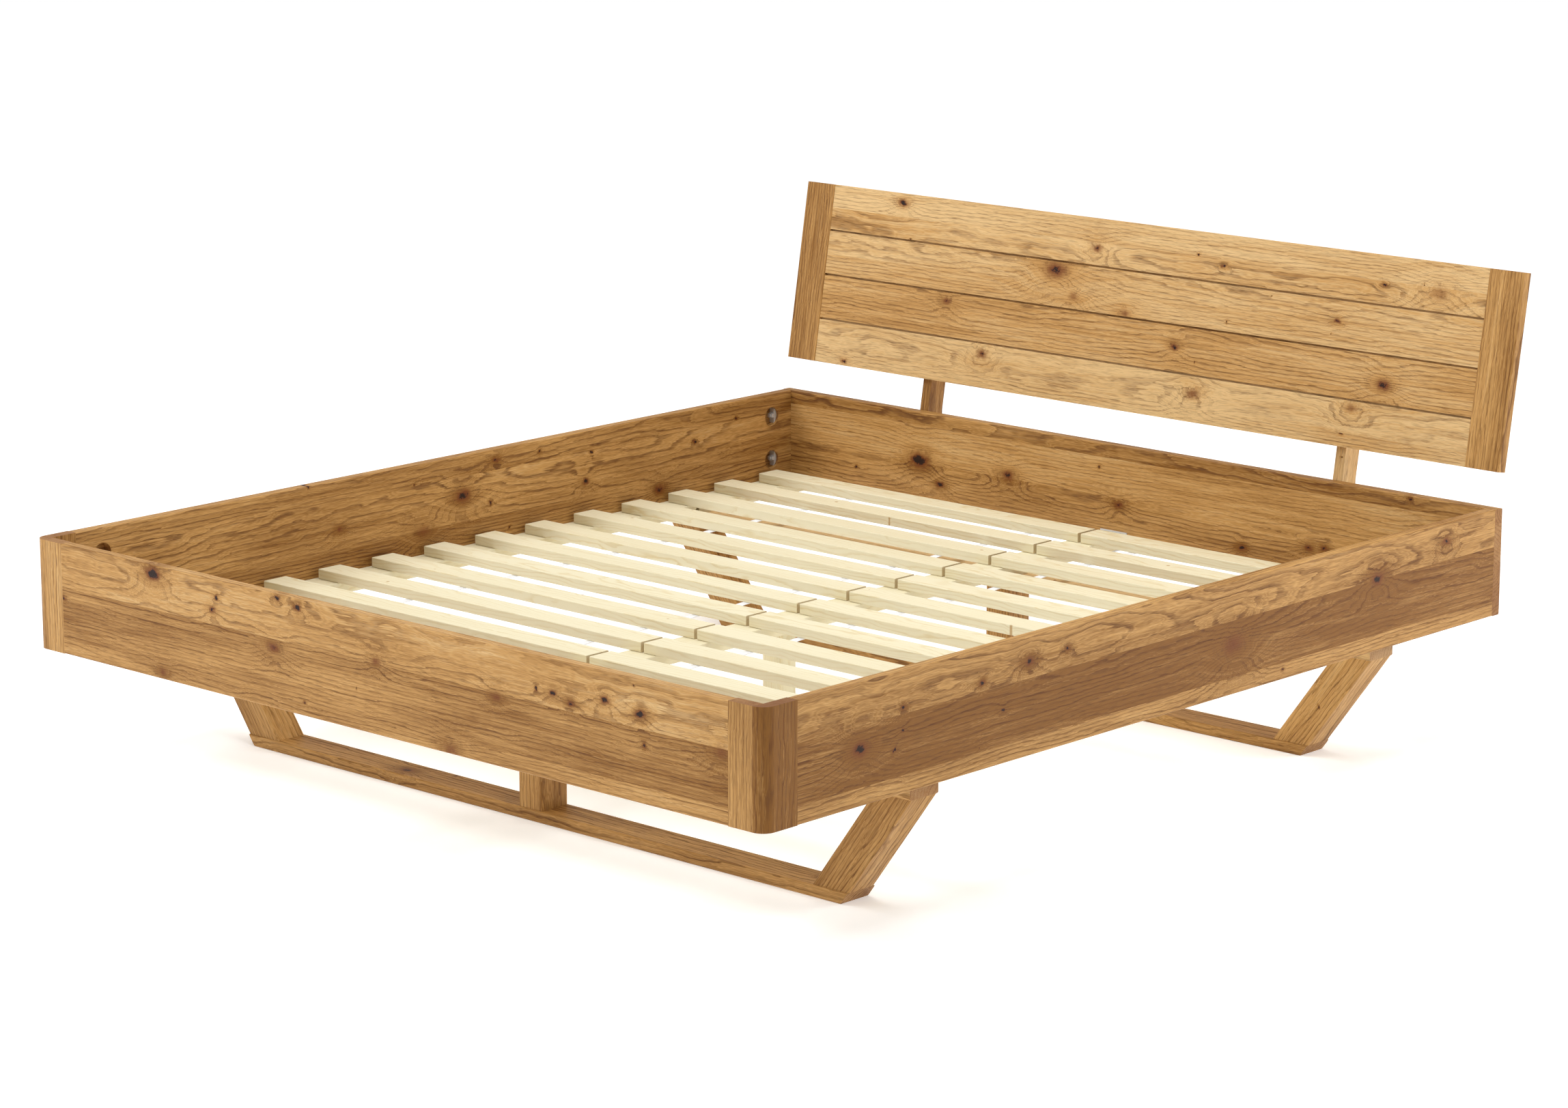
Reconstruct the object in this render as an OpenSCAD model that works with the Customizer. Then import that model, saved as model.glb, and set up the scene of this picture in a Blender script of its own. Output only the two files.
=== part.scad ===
// Double bed frame: oak side, foot and head panels on two sled-shaped leg frames, a leaning
// plank headboard, and two loose mats of pine slats.
// Millimetres. X runs across the bed, Y from foot to head, Z up from the floor. The origin is
// on the floor, under the middle of the whole bed.

/* [Frame] */
// Outer width of the frame
bed_w = 1880; // [1500:10:2280]
// Outer length, from the foot face to the back of the head panel
bed_l = 2100; // [1750:10:2520]
// Height of the frame's top edge above the floor
frame_top = 450; // [375:5:540]
// Height of the side, foot and head panels
panel_h = 212; // [195:1:255]
// Thickness of the oak panels
board_t = 24; // [20:0.5:30]
// Radius of the eased board edges
edge_r = 3; // [1:0.5:4]

/* [Foot corners] */
// Length of each arm of the L-shaped corner pieces
corner_arm = 80; // [60:1:100]
// Outer radius of the corner pieces
corner_r = 25; // [10:1:34]

/* [Corner connectors] */
// Diameter of the round pockets on the inner faces
pocket_d = 42; // [35:1:51]
// Distance from a butt joint to the middle of its pockets
pocket_inset = 62.5; // [50:0.5:76]
// Depth of the upper connector below the frame's top edge
connector_drop = 50.5; // [40:0.5:60]
// Distance between the upper and the lower connector
connector_pitch = 96; // [75:1:115]
// Diameter of the threaded rods
rod_d = 8; // [6:1:10]
// Width of the nuts across their flats
nut_af = 13; // [10:1:16]

/* [Leg frames] */
// Distance from the foot face to the front leg frame
front_leg_y = 378; // [300:1:460]
// Distance from the rear leg frame to the back of the head panel
rear_leg_y = 330; // [270:1:400]
// Distance from a side panel's outer face to the end of the cross member
member_inset = 17.5; // [10:0.5:40]
// Width of the cross members and runners along the bed
member_w = 73; // [68:1:90]
// Thickness of the cross members
member_t = 24; // [20:1:30]
// Thickness of the runners on the floor
runner_t = 22; // [18:1:28]
// Side of the square slanted legs
leg_s = 67; // [50:1:68]
// Lean of the slanted legs from the vertical, in degrees
leg_lean = 36.4; // [25:0.1:42]
// Width of the middle blocks
block_w = 59; // [45:1:75]

/* [Slat support] */
// Width of the pine boards that carry the slats
bearer_w = 70; // [56:1:84]
// Thickness of the pine boards that carry the slats
bearer_t = 23; // [19:0.5:28]
// Side of the square centre leg
centre_leg_s = 45; // [35:1:55]
// Number of screws along each side bearer
bearer_screws_n = 8; // [4:1:10]

/* [Slat mats] */
// Width of each slat
slat_w = 58; // [48:1:70]
// Thickness of each slat
slat_t = 20; // [16:0.5:24]
// Gap between the two mats
mat_gap = 8; // [4:1:20]
// Gap between a mat and the side panel
mat_side_gap = 11; // [5:1:20]
// Gap between the foot panel and the first slat
mat_foot_gap = 80; // [60:1:100]
// Gap between the last slat and the head panel
mat_head_gap = 57; // [45:1:70]
// Width of the textile straps
strap_w = 18; // [12:1:24]
// Distance from the middle of the bed to the inner straps
strap_inner_x = 138; // [100:1:170]
// Distance from the side panel to the outer straps
strap_outer_x = 276; // [220:1:340]

/* [Headboard] */
// Width of the headboard
headboard_w = 1873; // [1500:1:2280]
// Height of the headboard along its slope
headboard_h = 389; // [325:1:466]
// Thickness of the headboard's end boards
headboard_t = 25; // [21:0.5:30]
// Lean of the headboard from the vertical, in degrees
headboard_lean = 9.8; // [5:0.1:15]
// Gap along the slope between the head panel and the headboard
headboard_gap = 68.5; // [50:0.5:90]
// Width of the upright end boards
stile_w = 80; // [60:1:100]
// How far the planks lie behind the face of the end boards
plank_recess = 2; // [1:0.5:4]
// Height of the shadow groove under each joint between planks
groove_h = 4; // [3:0.5:8]
// Distance from the middle of the bed to each post
post_x = 547; // [450:1:660]
// Width of each post across the bed
post_w = 23; // [20:1:28]
// Depth of each post along the bed
post_d = 47; // [40:1:58]
// How far the posts reach up behind the headboard
post_reach = 300; // [250:1:360]

/* [Hidden] */
$fn = 48;

OAK = [0.78, 0.58, 0.37];
OAK_DARK = [0.66, 0.48, 0.30];
PINE = [0.94, 0.89, 0.74];
ZINC = [0.75, 0.76, 0.78];
WEBBING = [0.93, 0.93, 0.95];

// Fits and margins
fit = 0.05;          // radial clearance around rods and screws
rest_gap = 0.3;      // gap under a loose mat
end_gap = 1;         // gap at the ends of the bearers
cut = 1;             // how far a cutter runs past the face that it opens
slat_r = 1.5;        // eased edge of the pine pieces
arc_steps = 5;       // flats on each eased edge
corner_steps = 16;   // flats on the round of a foot corner

// Frame
half_w = bed_w / 2;
frame_bottom = frame_top - panel_h;
inner_x = half_w - board_t;
mid_x = half_w - board_t / 2;
head_y = bed_l - board_t;

// Connectors: half-moon washer and nut sit on the joint's side of the pocket
connector_z = [frame_top - connector_drop, frame_top - connector_drop - connector_pitch];
pocket_floor = 5;    // wood left behind a pocket
pocket_depth = board_t - pocket_floor;
washer_t = 8;
washer_w = 13;
nut_t = 0.8 * rod_d; // height of a standard nut
rod_grip_max = 18;
rod_cover = 6;       // wood left past the end of a rod
rod_grip = min(rod_grip_max, board_t - rod_cover);
rod_past_nut = 3;
washer_face = pocket_inset - pocket_d / 2 + washer_t;

// Places of the connectors: x, y, turn about Z that points into the pocketed board, and the
// side (+1 or -1) on which that board's inner face then lies
HEAD_JOINTS = [[mid_x, head_y, -90, -1], [-mid_x, head_y, -90, 1]];
RAIL_FOOT_JOINTS = [[mid_x, corner_arm, 90, 1], [-mid_x, corner_arm, 90, -1]];
FOOT_JOINTS = [
    [half_w - corner_arm, board_t / 2, 180, -1], [corner_arm - half_w, board_t / 2, 0, 1]
];
ALL_JOINTS = concat(HEAD_JOINTS, RAIL_FOOT_JOINTS, FOOT_JOINTS);

// Leg frames
member_end = half_w - member_inset;
member_bottom = frame_bottom - member_t;
leg_w = leg_s / cos(leg_lean);
runner_top_x = member_end - (member_bottom - runner_t) * tan(leg_lean);
runner_bottom_x = runner_top_x - runner_t * tan(leg_lean);
rear_leg_front = bed_l - rear_leg_y - member_w;

// Slat support
bearer_top = frame_bottom + bearer_t;
bearer_l = bed_l - 2 * board_t - 2 * end_gap;
bracket_t = 3;
bracket_lip = 40;
bracket_rise = 8;
middle_bearer_l = bearer_l - 2 * bracket_t;

// Slat mats
slats_per_mat = 14;
slat_bottom = bearer_top + rest_gap;
mat_w = inner_x - mat_side_gap - mat_gap / 2;
mat_l = bed_l - 2 * board_t - mat_foot_gap - mat_head_gap;
mat_y = board_t + mat_foot_gap;
slat_pitch = (mat_l - slat_w) / (slats_per_mat - 1);
strap_t = 1.2;
strap_x = [strap_inner_x, inner_x - strap_outer_x];

// Headboard, in its own leaning frame: Y backwards from its back face, Z up the slope
plank_count = 4;
plank_h = headboard_h / plank_count;
plank_w = headboard_w - 2 * stile_w;
plank_t = headboard_t - plank_recess;
groove_d = plank_t / 3;
post_top = headboard_gap + post_reach;
board_reach = (headboard_gap + headboard_h) * sin(headboard_lean);
post_back = post_top * sin(headboard_lean) + post_d * cos(headboard_lean);
total_l = bed_l + max(board_reach, post_back);

// Screws: head diameter, shank diameter, length, and how far they bite into the second piece
BEARER_SCREW = [10, 5, 45];
BRACKET_SCREW = [8, 4, 20];
CROSSING_SCREW = [9, 4.5, 40];
HEADBOARD_SCREW = [9, 4.5, 40];
bearer_bite = 15;
headboard_bite = 18;
bolt_head_d = 16;
bolt_head_t = 5.5;
bolt_l = 48;
bolt_z = [for (quarter = [1, 3]) frame_bottom + panel_h * quarter / 4];
screw_split = 4;     // a pair of screws stands this share of a board's width off its middle

// Corner points of a rectangle with eased corners, around its centre
function eased_rect(w, h, r) = [
    for (c = [[1, 1, 0], [-1, 1, 90], [-1, -1, 180], [1, -1, 270]], i = [0:arc_steps])
        let (a = c[2] + 90 * i / arc_steps)
        [c[0] * (w / 2 - r) + r * cos(a), c[1] * (h / 2 - r) + r * sin(a)]
];

// Bar along X, Y or Z with its four long edges eased. It starts at the origin
module bar_x(l, w, h, r) {
    translate([0, w / 2, h / 2]) rotate([90, 0, 90]) linear_extrude(l) polygon(eased_rect(w, h, r));
}
module bar_y(w, l, h, r) {
    translate([w / 2, l, h / 2]) rotate([90, 0, 0]) linear_extrude(l) polygon(eased_rect(w, h, r));
}
module bar_z(w, l, h, r) {
    translate([w / 2, l / 2, 0]) linear_extrude(h) polygon(eased_rect(w, l, r));
}

// Places the whole bed, drawn from the foot face, over the origin
module bed() {
    translate([0, -total_l / 2, 0]) children();
}

// Flat-headed wood screw pointing down from its head's top face, and the hole that it cuts
module screw(size, play = 0, above = 0) {
    head_r = size[0] / 2 + play;
    shank_r = size[1] / 2 + play;
    head_h = head_r - shank_r;
    rotate_extrude()
        polygon([[0, above], [head_r, above], [head_r, 0], [shank_r, -head_h],
                 [shank_r, -size[2] - play], [0, -size[2] - play]]);
}

// Children at each connector of the given joints. $side is the inner face's side
module at_joints(joints) {
    for (j = joints, z = connector_z)
        translate([j[0], j[1], z]) rotate([0, 0, j[2]]) {
            $side = j[3];
            children();
        }
}

module connector_cut() {
    open_y = $side * (board_t / 2 + cut);
    blind_y = $side * (board_t / 2 - pocket_depth);
    translate([pocket_inset, max(open_y, blind_y), 0]) rotate([90, 0, 0])
        cylinder(d = pocket_d, h = abs(open_y - blind_y));
    translate([-rod_grip - fit, 0, 0]) rotate([0, 90, 0])
        cylinder(d = rod_d + 2 * fit, h = rod_grip + pocket_inset);
}

module foot_panel() {
    color(OAK) bed() difference() {
        translate([corner_arm - half_w, 0, frame_bottom])
            bar_x(bed_w - 2 * corner_arm, board_t, panel_h, edge_r);
        at_joints(FOOT_JOINTS) connector_cut();
        bracket_screw_holes();
    }
}

module head_panel() {
    color(OAK_DARK) bed() difference() {
        translate([-half_w, head_y, frame_bottom]) bar_x(bed_w, board_t, panel_h, edge_r);
        at_joints(HEAD_JOINTS) connector_cut();
        bracket_screw_holes();
        at_post_bolts() post_bolt_hole();
    }
}

module side_rail(side) {
    color(OAK_DARK) bed() difference() {
        translate([side * mid_x - board_t / 2, corner_arm, frame_bottom])
            bar_y(board_t, head_y - corner_arm, panel_h, edge_r);
        at_joints(HEAD_JOINTS) connector_cut();
        at_joints(RAIL_FOOT_JOINTS) connector_cut();
        at_bearer_screws() bearer_screw_hole();
    }
}

// L-shaped foot corner, round on the outside
module foot_corner(side) {
    outline = concat(
        [for (i = [0:corner_steps]) let (a = 90 * i / corner_steps)
            [corner_r * (1 - sin(a)), corner_r * (1 - cos(a))]],
        [[0, corner_arm], [board_t, corner_arm], [board_t, board_t], [corner_arm, board_t],
         [corner_arm, 0]]
    );
    color(OAK) bed() difference() {
        translate([side * half_w, 0, frame_bottom]) scale([-side, 1, 1])
            linear_extrude(panel_h) polygon(outline);
        at_joints(RAIL_FOOT_JOINTS) connector_cut();
        at_joints(FOOT_JOINTS) connector_cut();
    }
}

// Children in the headboard's leaning frame, at its back face above the head panel's back edge
module leaning() {
    translate([0, bed_l, frame_top]) rotate([-headboard_lean, 0, 0]) children();
}

module stile(side) {
    x = side * (headboard_w - stile_w) / 2;
    color(OAK) bed() leaning()
        translate([x - stile_w / 2, -headboard_t, headboard_gap])
            bar_z(stile_w, headboard_t, headboard_h, edge_r);
}

// Plank i, counted from the bottom. The shadow groove is cut along its upper front edge
module plank(i) {
    bottom = headboard_gap + i * plank_h;
    color(OAK) bed() leaning() difference() {
        translate([-plank_w / 2, -plank_t, bottom]) cube([plank_w, plank_t, plank_h]);
        if (i < plank_count - 1)
            translate([-plank_w / 2 - cut, -plank_t - cut, bottom + plank_h - groove_h])
                cube([plank_w + 2 * cut, groove_d + cut, groove_h + cut]);
        at_headboard_screws() screw(HEADBOARD_SCREW, fit);
    }
}

// Post behind the head panel: upright below the panel's top edge, leaning above it
module post(side) {
    s = sin(headboard_lean);
    c = cos(headboard_lean);
    side_view = [
        [0, 0], [post_d, 0], [post_d, panel_h - post_d * tan(headboard_lean / 2)],
        [post_top * s + post_d * c, panel_h + post_top * c - post_d * s],
        [post_top * s, panel_h + post_top * c], [0, panel_h]
    ];
    color(OAK_DARK) bed() difference() {
        translate([side * post_x - post_w / 2, bed_l, frame_bottom])
            rotate([90, 0, 90]) linear_extrude(post_w) polygon(side_view);
        at_post_bolts() post_bolt_hole();
        leaning() at_headboard_screws() screw(HEADBOARD_SCREW, fit, post_d);
    }
}

// Pine board along a side rail, carrying the outer ends of the slats
module side_bearer(side) {
    x = side * (inner_x - bearer_w / 2);
    color(PINE) bed() difference() {
        translate([x - bearer_w / 2, board_t + end_gap, frame_bottom])
            bar_y(bearer_w, bearer_l, bearer_t, slat_r);
        at_bearer_screws() bearer_screw_hole();
        at_crossing_screws() screw(CROSSING_SCREW, fit, cut);
    }
}

module middle_bearer() {
    color(PINE) bed() difference() {
        translate([-bearer_w / 2, board_t + end_gap + bracket_t, frame_bottom])
            bar_y(bearer_w, middle_bearer_l, bearer_t, slat_r);
        at_crossing_screws() screw(CROSSING_SCREW, fit, cut);
    }
}

// Steel angle on the foot and head panels, under each end of the middle bearer
module bearer_brackets() {
    angle = [
        [0, -bracket_t], [bracket_lip, -bracket_t], [bracket_lip, 0], [bracket_t, 0],
        [bracket_t, bearer_t + bracket_rise], [0, bearer_t + bracket_rise]
    ];
    color(ZINC) bed() difference() {
        for (end = [[board_t, 1], [head_y, -1]])
            translate([0, end[0], frame_bottom]) scale([1, end[1], 1])
                rotate([90, 0, 90]) linear_extrude(bearer_w, center = true) polygon(angle);
        bracket_screw_holes();
    }
}

module centre_leg() {
    color(PINE) bed()
        translate([-centre_leg_s / 2, (bed_l - centre_leg_s) / 2, 0])
            bar_z(centre_leg_s, centre_leg_s, frame_bottom, slat_r);
}

// Front face of the front or rear leg frame
function leg_frame_y(rear) = rear ? rear_leg_front : front_leg_y;

module cross_member(rear) {
    color(OAK) bed() difference() {
        translate([-member_end, leg_frame_y(rear), member_bottom])
            bar_x(2 * member_end, member_w, member_t, edge_r);
        at_crossing_screws() screw(CROSSING_SCREW, fit, cut);
    }
}

// Square leg that leans outwards, cut level with the runner and the cross member
module slanted_leg(side, rear) {
    span = member_bottom - runner_t;
    color(OAK) bed()
        translate([side * (runner_top_x - leg_w / 2), leg_frame_y(rear) + member_w / 2, runner_t])
            intersection() {
                rotate([0, side * leg_lean, 0]) translate([0, 0, -leg_s])
                    linear_extrude(span / cos(leg_lean) + 2 * leg_s)
                        polygon(eased_rect(leg_s, leg_s, edge_r));
                translate([-half_w, -leg_s, 0]) cube([bed_w, 2 * leg_s, span]);
            }
}

module block(rear) {
    color(OAK) bed()
        translate([-block_w / 2, leg_frame_y(rear) + (member_w - leg_s) / 2, runner_t])
            bar_z(block_w, leg_s, member_bottom - runner_t, edge_r);
}

// Runner on the floor, its ends cut to the slope of the legs
module runner(rear) {
    outline = [
        [-runner_bottom_x, 0], [runner_bottom_x, 0], [runner_top_x, runner_t],
        [-runner_top_x, runner_t]
    ];
    color(OAK) bed() translate([0, leg_frame_y(rear), 0]) intersection() {
        translate([-runner_top_x, 0, 0]) bar_x(2 * runner_top_x, member_w, runner_t, edge_r);
        translate([0, member_w + cut, 0]) rotate([90, 0, 0])
            linear_extrude(member_w + 2 * cut) polygon(outline);
    }
}

// Two neighbouring slats of one mat. Pairs are counted from the foot
module slat_pair(side, pair) {
    x = side > 0 ? mat_gap / 2 : -mat_gap / 2 - mat_w;
    color(PINE) bed()
        for (i = [2 * pair - 2, 2 * pair - 1])
            translate([x, mat_y + i * slat_pitch, slat_bottom])
                bar_x(mat_w, slat_w, slat_t, slat_r);
}

// The two straps that hold a mat's slats at their pitch
module straps(side) {
    color(WEBBING) bed()
        for (x = strap_x)
            translate([side * x - strap_w / 2, mat_y, slat_bottom - strap_t])
                cube([strap_w, mat_l, strap_t]);
}

module corner_rods() {
    color(ZINC) bed() at_joints(ALL_JOINTS)
        translate([-rod_grip, 0, 0]) rotate([0, 90, 0])
            cylinder(d = rod_d, h = rod_grip + washer_face + nut_t + rod_past_nut);
}

module corner_nuts() {
    color(ZINC) bed() at_joints(ALL_JOINTS)
        translate([washer_face, 0, 0]) rotate([0, 90, 0]) difference() {
            cylinder(d = nut_af / cos(30), h = nut_t, $fn = 6);
            translate([0, 0, -cut]) cylinder(d = rod_d + 2 * fit, h = nut_t + 2 * cut);
        }
}

// Washer with a flat for the nut and a round back that fits the pocket's wall
module half_moon_washers() {
    color(ZINC) bed() at_joints(ALL_JOINTS) difference() {
        intersection() {
            translate([pocket_inset, washer_w / 2, 0]) rotate([90, 0, 0])
                cylinder(d = pocket_d - 2 * fit, h = washer_w);
            translate([washer_face - 2 * washer_t, -washer_w, -pocket_d])
                cube([2 * washer_t, 2 * washer_w, 2 * pocket_d]);
        }
        rotate([0, 90, 0]) cylinder(d = rod_d + 2 * fit, h = pocket_inset);
    }
}

// Children at each screw through a side bearer into its rail, pointing outwards
module at_bearer_screws() {
    first_y = mat_y + slat_w / 2;
    step = (bed_l - 2 * first_y) / (bearer_screws_n - 1);
    for (side = [-1, 1], i = [0:bearer_screws_n - 1])
        translate([side * inner_x, first_y + i * step, frame_bottom + bearer_t / 2])
            rotate([0, -side * 90, 0])
                children();
}

// The screw's head sits at the bottom of a deep counterbore
module bearer_screw_hole() {
    translate([0, 0, BEARER_SCREW[2] - bearer_bite]) screw(BEARER_SCREW, fit, bearer_w);
}

module bearer_screws() {
    color(ZINC) bed() at_bearer_screws()
        translate([0, 0, BEARER_SCREW[2] - bearer_bite]) screw(BEARER_SCREW);
}

// Children at each screw through a bracket into its panel, pointing into the panel
module at_bracket_screws() {
    for (end = [[board_t + bracket_t, -90], [head_y - bracket_t, 90]], side = [-1, 1])
        translate([side * bearer_w / screw_split, end[0], frame_bottom + bearer_t / 2])
            rotate([end[1], 0, 0])
                children();
}

module bracket_screw_holes() {
    at_bracket_screws() screw(BRACKET_SCREW, fit, cut);
}

module bracket_screws() {
    color(ZINC) bed() at_bracket_screws() screw(BRACKET_SCREW);
}

// Children at each screw through a bearer into a cross member below it
module at_crossing_screws() {
    for (x = [-1, 0, 1] * (inner_x - bearer_w / 2), rear = [false, true], side = [-1, 1]) {
        y = leg_frame_y(rear) + member_w / 2 + side * member_w / screw_split;
        translate([x, y, bearer_top]) children();
    }
}

module crossing_screws() {
    color(ZINC) bed() at_crossing_screws() screw(CROSSING_SCREW);
}

// Children at each bolt through a post into the head panel, pointing forwards. The origin is
// under the bolt's head
module at_post_bolts() {
    for (side = [-1, 1], z = bolt_z)
        translate([side * post_x, bed_l + bolt_l - rod_grip, z]) rotate([-90, 0, 0]) children();
}

module post_bolt_hole() {
    translate([0, 0, -bolt_l - fit]) cylinder(d = rod_d + 2 * fit, h = bolt_l + cut);
    cylinder(d = bolt_head_d + 2 * fit, h = post_d);
}

module post_bolts() {
    color(ZINC) bed() at_post_bolts() {
        translate([0, 0, -bolt_l]) cylinder(d = rod_d, h = bolt_l + bolt_head_t / 2);
        cylinder(d = bolt_head_d, h = bolt_head_t);
    }
}

// Children at each screw through a post into a plank, in the headboard's leaning frame
module at_headboard_screws() {
    y = HEADBOARD_SCREW[2] - headboard_bite;
    for (side = [-1, 1], i = [0:plank_count - 1]) {
        plank_middle = (i + 0.5) * plank_h;
        if (plank_middle < post_reach)
            translate([side * post_x, y, headboard_gap + plank_middle]) rotate([-90, 0, 0])
                children();
    }
}

module headboard_screws() {
    color(ZINC) bed() leaning() at_headboard_screws() screw(HEADBOARD_SCREW);
}

foot_panel();
head_panel();
side_rail(-1);  // left_side_rail
side_rail(1);  // right_side_rail
foot_corner(-1);  // left_foot_corner
foot_corner(1);  // right_foot_corner
stile(-1);  // left_stile
stile(1);  // right_stile
plank(0);  // plank_1
plank(1);  // plank_2
plank(2);  // plank_3
plank(3);  // plank_4
post(-1);  // left_post
post(1);  // right_post
side_bearer(-1);  // left_bearer
side_bearer(1);  // right_bearer
middle_bearer();
bearer_brackets();
centre_leg();
cross_member(false);  // front_cross_member
slanted_leg(-1, false);  // front_left_leg
slanted_leg(1, false);  // front_right_leg
block(false);  // front_block
runner(false);  // front_runner
cross_member(true);  // rear_cross_member
slanted_leg(-1, true);  // rear_left_leg
slanted_leg(1, true);  // rear_right_leg
block(true);  // rear_block
runner(true);  // rear_runner
slat_pair(-1, 1);  // left_slats_1
slat_pair(-1, 2);  // left_slats_2
slat_pair(-1, 3);  // left_slats_3
slat_pair(-1, 4);  // left_slats_4
slat_pair(-1, 5);  // left_slats_5
slat_pair(-1, 6);  // left_slats_6
slat_pair(-1, 7);  // left_slats_7
straps(-1);  // left_straps
slat_pair(1, 1);  // right_slats_1
slat_pair(1, 2);  // right_slats_2
slat_pair(1, 3);  // right_slats_3
slat_pair(1, 4);  // right_slats_4
slat_pair(1, 5);  // right_slats_5
slat_pair(1, 6);  // right_slats_6
slat_pair(1, 7);  // right_slats_7
straps(1);  // right_straps
corner_rods();
corner_nuts();
half_moon_washers();
bearer_screws();
bracket_screws();
crossing_screws();
post_bolts();
headboard_screws();
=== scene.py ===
"""Finishes, slat straps, stage and camera for a double bed frame of knotty oak.

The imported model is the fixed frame. Everything is in metres, in its frame: X across the bed,
Y from foot to head, Z up from the floor.
"""

import math
from collections import namedtuple

import bmesh
import bpy
from bpy.props import FloatProperty, FloatVectorProperty, PointerProperty
from mathutils import Matrix, Vector


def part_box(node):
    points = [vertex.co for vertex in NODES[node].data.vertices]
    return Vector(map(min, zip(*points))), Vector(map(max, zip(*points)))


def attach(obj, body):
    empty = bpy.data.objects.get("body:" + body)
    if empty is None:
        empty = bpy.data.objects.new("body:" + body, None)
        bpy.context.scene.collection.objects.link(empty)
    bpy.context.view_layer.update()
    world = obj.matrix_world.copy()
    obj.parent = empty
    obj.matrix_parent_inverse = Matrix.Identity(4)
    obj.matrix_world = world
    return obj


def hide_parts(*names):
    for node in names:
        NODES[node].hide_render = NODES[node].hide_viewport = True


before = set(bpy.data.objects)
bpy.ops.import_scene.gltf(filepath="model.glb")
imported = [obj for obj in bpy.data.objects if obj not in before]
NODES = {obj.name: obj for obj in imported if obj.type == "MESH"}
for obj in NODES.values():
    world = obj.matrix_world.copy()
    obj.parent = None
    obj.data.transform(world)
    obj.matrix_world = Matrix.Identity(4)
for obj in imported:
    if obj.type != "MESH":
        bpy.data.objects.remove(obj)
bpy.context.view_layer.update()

bl_info = {
    "name": "Oak Bed Frame",
    "version": (1, 0, 0),
    "blender": (4, 5, 0),
    "location": "3D View > Sidebar > Bed",
    "description": "Finishes an oak bed frame and its pine slat mats",
    "category": "Object",
}

# Grain frame of a board: origin, unit vectors along the grain and across the face, and how
# far the board reaches across
Grain = namedtuple("Grain", "origin along across height")
# One glued strip of a board: where it starts across the board (share of its height), how dark
# it is, how much its rings arch (0 straight, 1 cathedral) and which part of the log it is
Strip = namedtuple("Strip", "start tone arch log")
# A knot: place along and across the board, radius (all in metres) and darkness
Knot = namedtuple("Knot", "along across radius dark")
WOOD_IOR = 1.5


def linear(code):
    """Linear colour of an sRGB hex value."""
    parts = [int(code[i:i + 2], 16) / 255 for i in (1, 3, 5)]
    return tuple(c / 12.92 if c <= 0.04045 else ((c + 0.055) / 1.055) ** 2.4 for c in parts)


def opaque(colour):
    """The colour with full alpha, for sockets that take four numbers."""
    return (*colour, 1.0)


def colour_property(name, description, code):
    """A colour setting whose default is an sRGB hex value."""
    return FloatVectorProperty(name=name, description=description, subtype="COLOR", size=3,
                               min=0.0, max=1.0, default=linear(code))


class OakSettings(bpy.types.PropertyGroup):
    """Colours and sizes of the oiled oak"""
    pale: colour_property("Pale wood", "Lightest wood between the rings", "#DAB782")
    honey: colour_property("Honey wood", "Middle tone of the oiled oak", "#C19356")
    brown: colour_property("Brown wood", "Darkest strips of heartwood", "#82551F")
    ring_wood: colour_property("Ring wood", "Porous rings of spring growth", "#653B17")
    pore: colour_property("Pore", "Open pores", "#523114")
    knot_rim: colour_property("Knot rim", "Wood that runs round a knot", "#703A16")
    knot_heart: colour_property("Knot heart", "Filled middle of a knot", "#26130A")
    end_wood: colour_property("End wood", "Sawn ends of the boards", "#7D4E2C")
    ring: FloatProperty(name="Ring width", description="Width of one year's growth",
                        default=0.0075, min=0.001, max=0.02, unit="LENGTH")
    relief: FloatProperty(name="Relief", description="Depth of the pores and brushed rings",
                          default=0.0006, min=0.0, max=0.003, unit="LENGTH")


class PineSettings(bpy.types.PropertyGroup):
    """Colours and sizes of the planed pine"""
    pale: colour_property("Pale wood", "Spring growth", "#E2D9BA")
    ring: colour_property("Ring", "Summer growth", "#D5C498")
    knot: colour_property("Knot", "Small knots", "#B08A52")
    width: FloatProperty(name="Ring width", description="Width of one year's growth",
                         default=0.0055, min=0.001, max=0.02, unit="LENGTH")


class HardwareSettings(bpy.types.PropertyGroup):
    """Steel parts and webbing"""
    zinc: colour_property("Zinc", "Zinc-plated steel", "#DCDEE1")
    webbing: colour_property("Webbing", "Polyester webbing", "#F1F1F3")
    thread: FloatProperty(name="Thread", description="Spacing of the webbing's threads",
                          default=0.0016, min=0.0004, max=0.004, unit="LENGTH")
    sag: FloatProperty(name="Sag", description="Sag of the webbing between two slats",
                       default=0.0022, min=0.0, max=0.01, unit="LENGTH")
    staple: FloatProperty(name="Staple width", description="Width of a staple's crown",
                          default=0.011, min=0.004, max=0.017, unit="LENGTH")
    wire: FloatProperty(name="Staple wire", description="Thickness of a staple's wire",
                        default=0.0011, min=0.0005, max=0.002, unit="LENGTH")


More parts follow.
